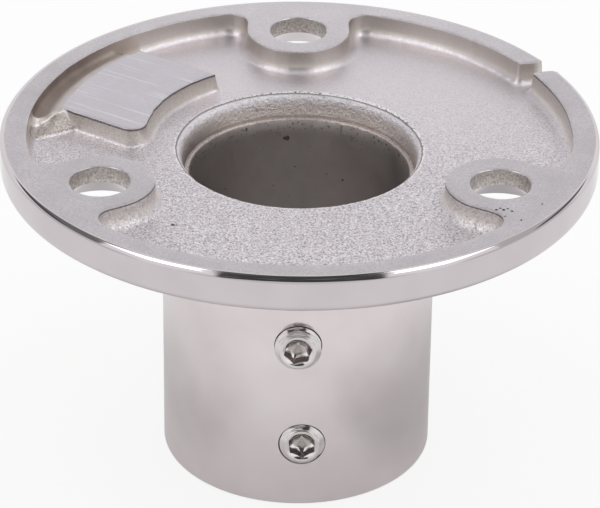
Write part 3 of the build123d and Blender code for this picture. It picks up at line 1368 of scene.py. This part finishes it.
@dataclass
class Casting:
    """Flange and tube socket, cast in one and open from end to end."""

    face: MountingFace = field(default_factory=MountingFace)
    underside_height: float = 40.8
    back_round: float = 1.2
    socket_radius: float = 17.6
    root_round: float = 2.0
    mouth_round: float = 0.4
    mouth_rings: Point = (16.2, 15.1)
    lead_in: float = 0.5
    bore_radius: float = 14.1
    ledge_height: float = 39.4
    # Radius and height down the entry, share of the edge's wander, and roughness
    entry_stations: tuple[Four, ...] = (
        (15.62, 42.68, 0.95, 0.02), (15.45, 42.5, 0.85, 0.04), (15.28, 42.28, 0.7, 0.05),
        (15.14, 42.0, 0.5, 0.05), (15.05, 41.65, 0.35, 0.06), (14.98, 41.3, 0.25, 0.06),
        (14.92, 40.95, 0.15, 0.06), (14.86, 40.6, 0.1, 0.06), (14.80, 40.3, 0.05, 0.06),
        (14.76, 40.0, 0.0, 0.05), (14.73, 39.82, 0.0, 0.03), (14.7, 39.7, 0.0, 0.02),
        (14.55, 39.69, 0.0, 0.02), (14.35, 39.66, 0.0, 0.02), (14.2, 39.58, 0.0, 0.02),
        (14.1, 39.4, 0.0, 0.0),
    )
    ledge_stations: int = 5
    hole_heights: tuple[float, ...] = (45.3, 44.95, 44.6, 44.25, 43.9, 43.6)
    countersink_radius: float = 6.4
    countersink: tuple[Point, ...] = (
        (3.8, 43.4), (3.9, 43.3), (4.7, 42.5), (5.6, 41.6), (6.3, 40.91), (6.4, 40.8),
    )
    screw_hole_radius: float = 3.0
    screw_holes: tuple[ScrewHole, ...] = (ScrewHole(0.14, 23.88, 75.0), ScrewHole(0.745, 9.225, 125.0))
    thread_run_out: float = 0.05
    thread_depth: float = 0.2
    steps: int = 480
    finishes: tuple[Finish, ...] = (
        Finish.CAST, Finish.GROUND, Finish.PAD, Finish.MIRROR, Finish.SATIN, Finish.TURNED, Finish.BORE,
        Finish.FUNNEL, Finish.LEDGE, Finish.GROOVE, Finish.EDGE, Finish.BEVEL, Finish.HOLE,
    )

    def build(self, made: dict[Finish, bpy.types.Material]) -> bpy.types.Object:
        """Makes the casting in place of its CAD solid.

        Args:
            made: The finished materials.

        Returns:
            The casting's object.
        """
        skin = Skin(self.finishes)
        rim, entry, mouths = self.face.build(skin)
        self.add_rim_side(skin, rim)
        self.add_underside(skin)
        self.add_socket(skin)
        self.add_entry(skin, entry)
        for mouth, angle in zip(mouths, self.face.boss_angles):
            self.add_bolt_hole(skin, mouth, angle)
        for hole in self.screw_holes:
            self.add_screw_hole(skin, hole)
        return skin.to_object("bracket_casting_detailed", made, crease=32)

    def add_rim_side(self, skin: Skin, upper: np.ndarray) -> None:
        """Adds the side band below the rim's round edge and the round of its lower edge.

        Args:
            skin: The casting's skin.
            upper: The upper edge loop, notched by the drain slot, in order of angle.
        """
        radius, low = self.face.flange_radius, self.underside_height + self.back_round
        angles = np.arctan2(upper[:, 1], upper[:, 0]) % FULL_TURN
        angles[angles > FULL_TURN - 1e-6] = 0
        order = np.argsort(angles)
        top = np.column_stack([angles[order] * radius, upper[order, 2]])
        top = np.concatenate([top, [[FULL_TURN * radius, top[0, 1]]]])
        across = np.arange(self.steps + 1) * FULL_TURN * radius / self.steps
        middle = (low + 0.55, low + 1.2)
        border = np.concatenate([
            np.column_stack([across, np.full(len(across), low)]),
            [[across[-1], z] for z in middle],
            top[::-1],
            [[0.0, z] for z in middle[::-1]],
        ])
        loose = np.array([[s, z] for z in middle for s in across[1:-1] if z < np.interp(s, *top.T) - 0.12])
        spots, faces = triangulated(loose, [border])
        across, height = spots[faces].mean(1).T
        skin.add(rolled(spots, radius), faces[height < np.interp(across, *top.T)], Finish.MIRROR)
        skin.sweep([
            (radius - self.back_round * (1 - math.cos(t)), low - self.back_round * math.sin(t))
            for t in np.radians(np.linspace(0, 90, 9))
        ], self.steps, Finish.MIRROR)

    def add_underside(self, skin: Skin) -> None:
        """Adds the flange's flat back, with its three countersink mouths, and the root round.

        Args:
            skin: The casting's skin.
        """
        outer = self.face.flange_radius - self.back_round
        inner = self.socket_radius + self.root_round
        centres = [towards(angle, self.face.boss_circle) for angle in self.face.boss_angles]
        lines = [circle(turns(self.steps), outer), circle(turns(self.steps), inner)]
        loose = self.face.spread(self.face.back_spacing, inner + 0.4, outer - 0.4, 7)
        for centre in centres:
            radii = (self.countersink_radius + grow for grow in (0.0, 0.08, 0.4))
            lines += [circle(turns(HOLE_STEPS), radius, centre) for radius in radii]
            loose = loose[np.linalg.norm(loose - centre, axis=1) > self.countersink_radius + 0.8]
        spots, faces = triangulated(loose, lines)
        middles = spots[faces].mean(1)
        keep = np.linalg.norm(middles, axis=1) > inner - 0.001
        for centre in centres:
            keep &= np.linalg.norm(middles - centre, axis=1) > self.countersink_radius - 0.004
        space = np.column_stack([spots, np.full(len(spots), self.underside_height)])
        skin.add(space, faces[keep], Finish.TURNED)
        root, high = self.root_round, self.underside_height
        skin.sweep([
            (inner + root * math.cos(t), high - root * (1 - math.sin(t)))
            for t in np.radians(np.linspace(90, 180, 9))
        ], self.steps, Finish.SATIN)

    def add_wall(self, skin: Skin, radius: float, rows: np.ndarray, gaps: list[list[np.ndarray]],
                 finish: Finish) -> None:
        """Adds a round wall that the screw holes go through.

        Args:
            skin: The casting's skin.
            radius: Radius of the wall.
            rows: Heights of its rows of points, the two edges included.
            gaps: For each hole, its edge loop and the loops round it.
            finish: Finish of the wall.
        """
        across = (np.arange(self.steps + 1) / self.steps * FULL_TURN + math.pi / 2) * radius
        lines = [np.concatenate([
            np.column_stack([across, np.full(len(across), rows[0])]),
            [[across[-1], z] for z in rows[1:-1]],
            np.column_stack([across[::-1], np.full(len(across), rows[-1])]),
            [[across[0], z] for z in rows[-2:0:-1]],
        ])]
        loose = np.array([[s, z] for z in rows[1:-1] for s in across[1:-1]])
        edges = []
        for loops in gaps:
            flat = [
                np.column_stack([(np.arctan2(loop[:, 1], loop[:, 0]) % FULL_TURN) * radius, loop[:, 2]])
                for loop in loops
            ]
            lines += [line[::-1] for line in flat]
            edges.append(Outline(flat[0]))
            loose = loose[edges[-1].distance(loose) > 1.3]
        spots, faces = triangulated(loose, lines)
        for edge in edges:
            faces = faces[edge.distance(spots[faces].mean(1)) >= 0]
        skin.add(rolled(spots, radius), faces, finish)

    def add_socket(self, skin: Skin) -> None:
        """Adds the socket's outer wall, its mouth and the bore.

        Args:
            skin: The casting's skin.
        """
        outside, inside = [], []
        for hole in self.screw_holes:
            edge = self.screw_hole_radius + self.thread_run_out * hole.run_out()
            outside.append([hole.loop(reach, self.socket_radius) for reach in (
                edge, edge + 0.06, self.screw_hole_radius + 0.5, self.screw_hole_radius + 1.0,
            )])
            inside.append([
                hole.loop(self.screw_hole_radius + grow, self.bore_radius) for grow in (0.0, 0.1, 0.6)
            ])
        top = self.underside_height - self.root_round
        self.add_wall(skin, self.socket_radius, np.linspace(self.mouth_round, top, 22), outside, Finish.SATIN)
        skin.sweep([
            (self.socket_radius - self.mouth_round * (1 - math.cos(t)), self.mouth_round * (1 - math.sin(t)))
            for t in np.radians(np.linspace(0, 90, 6))
        ], self.steps, Finish.SATIN)
        end = self.bore_radius + self.lead_in
        mouth = [(radius, 0) for radius in (self.socket_radius - self.mouth_round, *self.mouth_rings, end)]
        skin.sweep([*mouth, (self.bore_radius, self.lead_in)], self.steps, Finish.TURNED)
        rows = np.linspace(self.lead_in, self.ledge_height, 20)
        self.add_wall(skin, self.bore_radius, rows, inside, Finish.BORE)

    def add_screw_hole(self, skin: Skin, hole: ScrewHole) -> None:
        """Adds the wall of one set screw's hole, with its thread grooves near the outer end.

        Args:
            skin: The casting's skin.
            hole: Where the hole lies.
        """
        radius = self.screw_hole_radius
        loops = [hole.loop(radius + self.thread_run_out * hole.run_out(), self.socket_radius)]
        for depth in np.arange(0.1, 2.7, 0.1):
            phase = (depth + hole.run_out()) % 1.0
            ridge = np.clip(1.5 * np.abs(2 * phase - 1) - 0.5, 0, 1) * np.clip((2.5 - depth) / 0.6, 0, 1)
            loops.append(hole.loop(radius + self.thread_depth * ridge, self.socket_radius, depth, radius))
        loops.append(hole.loop(radius, self.bore_radius))
        skin.loft(loops, Finish.BORE)

    def add_entry(self, skin: Skin, edge: np.ndarray) -> None:
        """Adds the cast entry above the bore: chamfer, funnel and narrow ledge.

        Args:
            skin: The casting's skin.
            edge: Edge loop of the entry in the recess floor.
        """
        directions = circle(turns(self.steps))
        wander = np.linalg.norm(edge[:, :2], axis=1) - self.face.entry_radius
        loops = [edge]
        for radius, height, follow, rough in self.entry_stations:
            base = ring(radius, height, self.steps)
            uneven = waves(base, rough, 0.9, 83.0) + waves(base, 0.5 * rough, 0.5, 89.0)
            reach = radius + follow * wander + uneven
            loops.append(np.column_stack([directions * reach[:, None], base[:, 2]]))
        skin.loft(loops[:1 - self.ledge_stations], Finish.FUNNEL)
        skin.loft(loops[-self.ledge_stations:], Finish.LEDGE)

    def add_bolt_hole(self, skin: Skin, mouth: np.ndarray, angle: float) -> None:
        """Adds the wall of one bolt hole: rough as cast above, a polished countersink below.

        Args:
            skin: The casting's skin.
            mouth: Edge loop of the hole in the mounting face.
            angle: Direction of the hole in degrees.
        """
        radius, centre = self.face.hole_radius, towards(angle, self.face.boss_circle)
        loops = [mouth]
        for height in self.hole_heights:
            base = ring(radius, height, HOLE_STEPS, centre)
            uneven = waves(base, 0.05, 1.0, angle) + waves(base, 0.04, 0.5, angle + 5)
            flat = (base[:, :2] - centre) * (1 + uneven / radius)[:, None]
            loops.append(np.column_stack([centre + flat, base[:, 2]]))
        loops.append(ring(*self.countersink[0], HOLE_STEPS, centre))
        skin.loft(loops, Finish.HOLE)
        skin.sweep(self.countersink, HOLE_STEPS, Finish.MIRROR, centre)


# The set screws


@dataclass
class SetScrew:
    """A threaded set screw with a hexagon socket at its outer end and a cup point at its inner end."""

    name: str
    body: str
    sideways: float
    height: float
    stand_out: float
    turn: float
    thread_start: float
    socket_radius: float = 17.6
    crest_radius: float = 2.95
    root_radius: float = 2.42
    pitch: float = 1.0
    length: float = 4.0
    end_chamfer: float = 0.75
    chamfer_slope: float = 1.4
    # Depth, height and width of the rings that the lathe left on the outer chamfer
    lathe_rings: Place = (0.6, 0.03, 0.25)
    face_ridge: float = 0.012
    across_flats: float = 3.15
    hex_corner: float = 0.025
    mouth_radius: float = 1.95
    mouth_depth: float = 0.25
    hex_depth: float = 1.8
    drill_radius: float = 1.36
    point_depth: float = 0.7
    cup_radius: float = 1.5
    cup_depth: float = 0.6
    flank_steps: Point = (0.03125, 0.0625)
    steps: int = 120
    finishes: tuple[Finish, ...] = (Finish.THREAD, Finish.BRIGHT, Finish.SOCKET, Finish.DRILL)

    def loop(self, reach: float | np.ndarray, depth: float | np.ndarray) -> np.ndarray:
        """A loop about the screw's axis, with its reach and its depth below the outer end."""
        x, z = circle(turns(self.steps), reach, (self.sideways, self.height)).T
        return np.column_stack([x, np.full(self.steps, self.tip(depth)[1]), z])

    def tip(self, depth: float | np.ndarray) -> tuple[float, float | np.ndarray, float]:
        """Point on the screw's axis, or points, at a depth below its outer end."""
        return (self.sideways, -self.socket_radius - self.stand_out + depth, self.height)

    def thread_reach(self, depth: float) -> np.ndarray:
        """Radius of the threaded flank, its end chamfers included.

        Args:
            depth: Depth below the outer end.

        Returns:
            The radius at each step round the axis.
        """
        phase = (depth / self.pitch + (turns(self.steps) - math.radians(self.thread_start)) / FULL_TURN) % 1.0
        ridge = np.clip(1.35 * (1 - np.abs(2 * phase - 1)) / 0.95 - 0.18, 0, 1)
        thread = self.root_radius + (self.crest_radius - self.root_radius) * ridge
        end = self.crest_radius - self.end_chamfer
        deepest, height, width = self.lathe_rings
        lathe = height * math.sin(depth * FULL_TURN / width) if depth < deepest else 0
        return np.minimum(thread, min(end + self.chamfer_slope * depth + lathe, end + (self.length - depth)))

    def hex_reach(self) -> np.ndarray:
        """Radius of the hexagon socket.

        Returns:
            The radius at each step round the axis.
        """
        within = (turns(self.steps) - math.radians(self.turn)) % (math.pi / 3) - math.pi / 6
        corner = self.across_flats / 2 / math.cos(math.pi / 6) - self.hex_corner
        return np.minimum(self.across_flats / 2 / np.cos(within), corner)

    def build(self, made: dict[Finish, bpy.types.Material]) -> bpy.types.Object:
        """Makes the screw in place of its CAD solid.

        Args:
            made: The finished materials.

        Returns:
            The screw's object.
        """
        skin = Skin(self.finishes)
        # Narrow steps where the lathe rings are, wider ones along the thread
        (narrow, wide), middle = self.flank_steps, self.lathe_rings[0]
        rows = [
            *np.arange(0, middle, narrow), *np.arange(middle, self.length - 0.05, wide),
            self.length - 0.04, self.length,
        ]
        flank = [self.loop(self.thread_reach(depth), depth) for depth in rows]
        skin.loft(flank, Finish.THREAD)
        # Outer end, with faint turning rings, and the mouth of the hexagon socket
        hexagon = self.hex_reach()
        lip = self.mouth_radius - hexagon
        cone = self.mouth_depth * lip / (self.mouth_radius - self.across_flats / 2)
        rings = np.linspace(self.thread_reach(0.0)[0] - 0.03, self.mouth_radius + 0.03, 8)
        mouth, throat = self.loop(self.mouth_radius, 0.01), self.loop(hexagon, cone + 0.03)
        face = [self.loop(reach, self.face_ridge * (index % 2)) for index, reach in enumerate(rings)]
        skin.loft([flank[0], *face, mouth], Finish.BRIGHT)
        skin.loft([
            mouth, self.loop(hexagon + 0.5 * lip, 0.5 * cone), self.loop(hexagon + 0.02, cone), throat,
        ], Finish.BRIGHT)
        # Flats, and the drilled bottom below them
        flats = [throat, *(self.loop(hexagon, depth) for depth in (0.7, 1.1, self.hex_depth - 0.3))]
        skin.loft(flats, Finish.SOCKET)
        drill = [
            self.loop(self.drill_radius * (1 - share), self.hex_depth + self.point_depth * share)
            for share in (0.0, 0.2, 0.4, 0.6, 0.8)
        ]
        skin.loft([flats[-1], drill[0]], Finish.BRIGHT)
        skin.loft(drill, Finish.DRILL)
        skin.fan(drill[-1], self.tip(self.hex_depth + self.point_depth), Finish.DRILL)
        # Inner end with the cup point
        cup = self.loop(self.cup_radius * 0.5, self.length - self.cup_depth * 0.5)
        skin.loft([
            flank[-1], self.loop(self.thread_reach(self.length) - 0.05, self.length),
            self.loop(self.cup_radius + 0.04, self.length),
            self.loop(self.cup_radius, self.length - 0.02), cup,
        ], Finish.BRIGHT)
        skin.fan(cup, self.tip(self.length - self.cup_depth), Finish.BRIGHT)
        return skin.to_object(f"{self.name}_detailed", made, crease=28)


@dataclass
class Bracket:
    """The whole bracket: the casting and its two set screws."""

    casting: Casting = field(default_factory=Casting)
    screws: tuple[SetScrew, ...] = (
        SetScrew("upper_set_screw", "upper_screw", 0.13, 23.85, 1.5, 14.0, 75.0),
        SetScrew("lower_set_screw", "lower_screw", 0.76, 9.2, 0.5, 33.0, 125.0),
    )

    def build(self) -> None:
        """Builds each piece, dresses it and lets it ride on its body."""
        made = {finish: finish.value.make() for finish in Finish}
        piece = self.casting.build(made)
        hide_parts("bracket_casting")
        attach(piece, "bracket")
        log.info("casting dressed")
        for screw in self.screws:
            piece = screw.build(made)
            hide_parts(screw.name)
            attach(piece, screw.body)
            log.info("%s dressed", screw.name)


# The studio


@dataclass(frozen=True)
class Region:
    """A dimmer part of the surround: its level, and the planes that it lies beyond."""

    level: float
    planes: tuple[tuple[float, ...], ...]


@dataclass
class Studio:
    """Pale floor, soft light and the photograph's camera."""

    floor_reach: float = 3.0
    floor_drop: float = 0.0001
    floor_grey: float = 0.93
    floor_roughness: float = 0.9
    # How much of the floor's look is plain white: seen straight, in a mirror, and there in its shaded parts
    camera_blend: float = 0.85
    glossy_blend: float = 0.16
    beside_blend: float = 0.14
    # Shaded parts that metal mirrors: start and end sideways, start and end off the axis, and strength
    floor_shades: tuple[tuple[float, ...], ...] = (
        (0.010, 0.026, 0.060, 0.034, 0.8), (-0.014, -0.028, 0.050, 0.030, 0.56),
    )
    # Planes round the dark gap overhead, the light that strays into it and the scale of its fragments
    gap: tuple[Four, ...] = (
        (1, -0.26, 0, -0.25), (-1, -0.28, 0, -0.27), (0, -1, 0, -0.70), (0, 1, 0, -0.88), (0, 0, 1, 0.2),
    )
    stray: Four = (0.55, 0.72, 0.07, 0.3)
    stray_scale: float = 7.0
    regions: tuple[Region, ...] = (
        Region(0.2, ((-1, 0.85, 0, 0.74), (-0.3, 0, 1, 0.66, 0.04), (-1, 0, 0, 0.12))),
        Region(0.5, ((-1, 0.85, 0, 1.0), (-0.3, 0, 1, 0.66, 0.04), (-1, 0, 0, 0.12))),
        Region(0.6, ((1, 0.85, 0, 0.76), (0.3, 0, 1, 0.63, 0.04), (1, 0, 0, 0.12))),
        Region(0.2, ((1, 0.85, 0, 1.02), (0.3, 0, 1, 0.63, 0.04), (1, 0, 0, 0.12))),
        Region(0.75, ((0, -1, 0, 0.75, 0.1),)),
        Region(0.7, ((1, 0, 0, 0.86, 0.06), (0, 0, -1, -0.4))),
        Region(0.7, ((-1, 0, 0, 0.86, 0.06), (0, 0, -1, -0.4))),
    )
    # Soft light from the surround: heights between which it grows, and its two levels
    diffuse: Four = (0.2, 0.85, 0.1, 1.0)
    # Name, place and turn in degrees of the two panels
    panels: tuple[tuple[str, Place, float], ...] = (
        ("left_panel", (-0.43, 0.02, 0.90), 18.0), ("right_panel", (0.43, 0.02, 0.90), -18.0),
    )
    panel_size: Point = (0.30, 0.80)
    panel_energy: float = 1.3
    panel_aim: Place = (0, 0, 0.03)
    sensor_width: float = 36.0
    clip: Point = (0.01, 20.0)
    focal_pixels: float = 3391.1
    frame_pixels: tuple[int, int] = (600, 508)
    centre_pixels: Point = (298.70, 256.19)
    camera_place: Place = (0.07, -382.36, 245.88)
    camera_right: Place = (0.99992, 0.00615, 0.01073)
    camera_back: Place = (0.0, -0.86779, 0.49693)

    def build(self) -> None:
        """Makes floor, world, lamps and camera."""
        self.add_floor()
        self.set_world()
        self.add_lamps()
        self.add_camera()
        bpy.context.scene.view_settings.view_transform = "Standard"

    def add_floor(self) -> None:
        """Makes the plain white floor that the bracket stands on and throws its shadow on."""
        reach = self.floor_reach
        mesh = bpy.data.meshes.new("floor")
        corners = [(-reach, -reach, 0), (reach, -reach, 0), (reach, reach, 0), (-reach, reach, 0)]
        mesh.from_pydata(corners, [], [(0, 1, 2, 3)])
        floor = bpy.data.objects.new("floor", mesh)
        bpy.context.scene.collection.objects.link(floor)
        floor.location.z = -self.floor_drop
        material = bpy.data.materials.new("studio_floor")
        material.use_nodes = True
        graph = Graph(material.node_tree)
        shader = graph.nodes["Principled BSDF"]
        shader.inputs["Base Color"].default_value = (self.floor_grey, self.floor_grey, self.floor_grey, 1)
        shader.inputs["Roughness"].default_value = self.floor_roughness
        shader.inputs["Specular IOR Level"].default_value = 0.0
        camera = graph.seen("Is Camera Ray")
        mirrored = graph.seen("Is Glossy Ray", "Is Transmission Ray")
        shades = []
        for start, end, far, near, strength in self.floor_shades:
            sideways = graph.graded(graph.coordinate("X"), start, end, bend="SMOOTHSTEP")
            inwards = graph.graded(graph.reach(), far, near, bend="SMOOTHSTEP")
            shades.append(graph.combined("MULTIPLY", sideways, inwards, strength))
        dim = graph.combined("MULTIPLY", mirrored, graph.combined("ADD", *shades))
        white = graph.combined("SUBTRACT", graph.combined("ADD", camera, mirrored), dim)
        blends = ((camera, self.camera_blend), (mirrored, self.glossy_blend), (dim, self.beside_blend))
        share = graph.combined("ADD", *(graph.combined("MULTIPLY", *blend) for blend in blends))
        glow = graph.add("Emission", {"Strength": white})
        look = graph.add("MixShader", {0: share, 1: shader.outputs[0], 2: glow.outputs[0]})
        graph.feed(graph.nodes["Material Output"].inputs["Surface"], look.outputs[0])
        material.cycles.emission_sampling = "NONE"
        mesh.materials.append(material)

    def set_world(self) -> None:
        """Makes a white surround with a dark gap between the panels and dark corners behind them."""
        world = bpy.data.worlds.new("studio")
        bpy.context.scene.world = world
        world.use_nodes = True
        world.cycles.sampling_method = "NONE"
        graph = Graph(world.node_tree, "Generated")
        fragments = graph.add("TexNoise", {"Vector": graph.places, "Scale": self.stray_scale, "Detail": 2.0})
        stray = graph.graded(fragments.outputs["Fac"], *self.stray, bend="SMOOTHSTEP")
        gap = graph.beyond(self.gap)
        outside = graph.combined("SUBTRACT", 1.0, gap)
        levels = [graph.combined("ADD", outside, graph.combined("MULTIPLY", gap, stray))]
        for region in self.regions:
            inside = graph.beyond(region.planes)
            levels.append(graph.graded(inside, 0.0, 1.0, 1.0, region.level, "SMOOTHSTEP"))
        mirrored = graph.seen("Is Glossy Ray", "Is Transmission Ray")
        camera = graph.seen("Is Camera Ray")
        rest = graph.combined("SUBTRACT", 1.0, mirrored, camera)
        soft = graph.graded(graph.coordinate("Z"), *self.diffuse, bend="SMOOTHSTEP")
        background = graph.nodes["Background"]
        background.inputs["Color"].default_value = (1, 1, 1, 1)
        graph.feed(background.inputs["Strength"], graph.combined(
            "ADD", graph.combined("MULTIPLY", *levels, mirrored), camera,
            graph.combined("MULTIPLY", rest, soft),
        ))

    def add_lamps(self) -> None:
        """Makes two large soft panels overhead, left and right of the gap."""
        for name, place, spin in self.panels:
            lamp = bpy.data.lights.new(name, "AREA")
            lamp.shape = "RECTANGLE"
            lamp.size, lamp.size_y = self.panel_size
            lamp.energy = self.panel_energy
            holder = bpy.data.objects.new(name, lamp)
            aim = (Vector(self.panel_aim) - Vector(place)).normalized()
            level = Vector((*towards(-spin, 1.0), 0))
            side = (level - level.dot(aim) * aim).normalized()
            turn = Matrix((side, aim.cross(side) * -1, aim * -1)).transposed()
            holder.matrix_world = Matrix.Translation(Vector(place)) @ turn.to_4x4()
            holder.visible_camera = False
            bpy.context.scene.collection.objects.link(holder)

    def add_camera(self) -> None:
        """Makes the camera that was fitted to the photograph."""
        camera = bpy.data.cameras.new("camera")
        width, height = self.frame_pixels
        camera.sensor_fit = "HORIZONTAL"
        camera.sensor_width = self.sensor_width
        camera.lens = self.focal_pixels / width * camera.sensor_width
        camera.shift_x = (width / 2 - self.centre_pixels[0]) / width
        camera.shift_y = (self.centre_pixels[1] - height / 2) / width
        camera.clip_start, camera.clip_end = self.clip
        holder = bpy.data.objects.new("camera", camera)
        right, back = Vector(self.camera_right).normalized(), Vector(self.camera_back).normalized()
        turn = Matrix((right, back.cross(right).normalized(), back)).transposed().to_4x4()
        holder.matrix_world = Matrix.Translation(Vector(self.camera_place) * MILLIMETRE) @ turn
        bpy.context.scene.collection.objects.link(holder)
        bpy.context.scene.camera = holder


def main() -> None:
    logging.basicConfig(level=logging.INFO, format="%(name)s: %(message)s")
    Bracket().build()
    Studio().build()


if __name__ == "__main__":
    main()
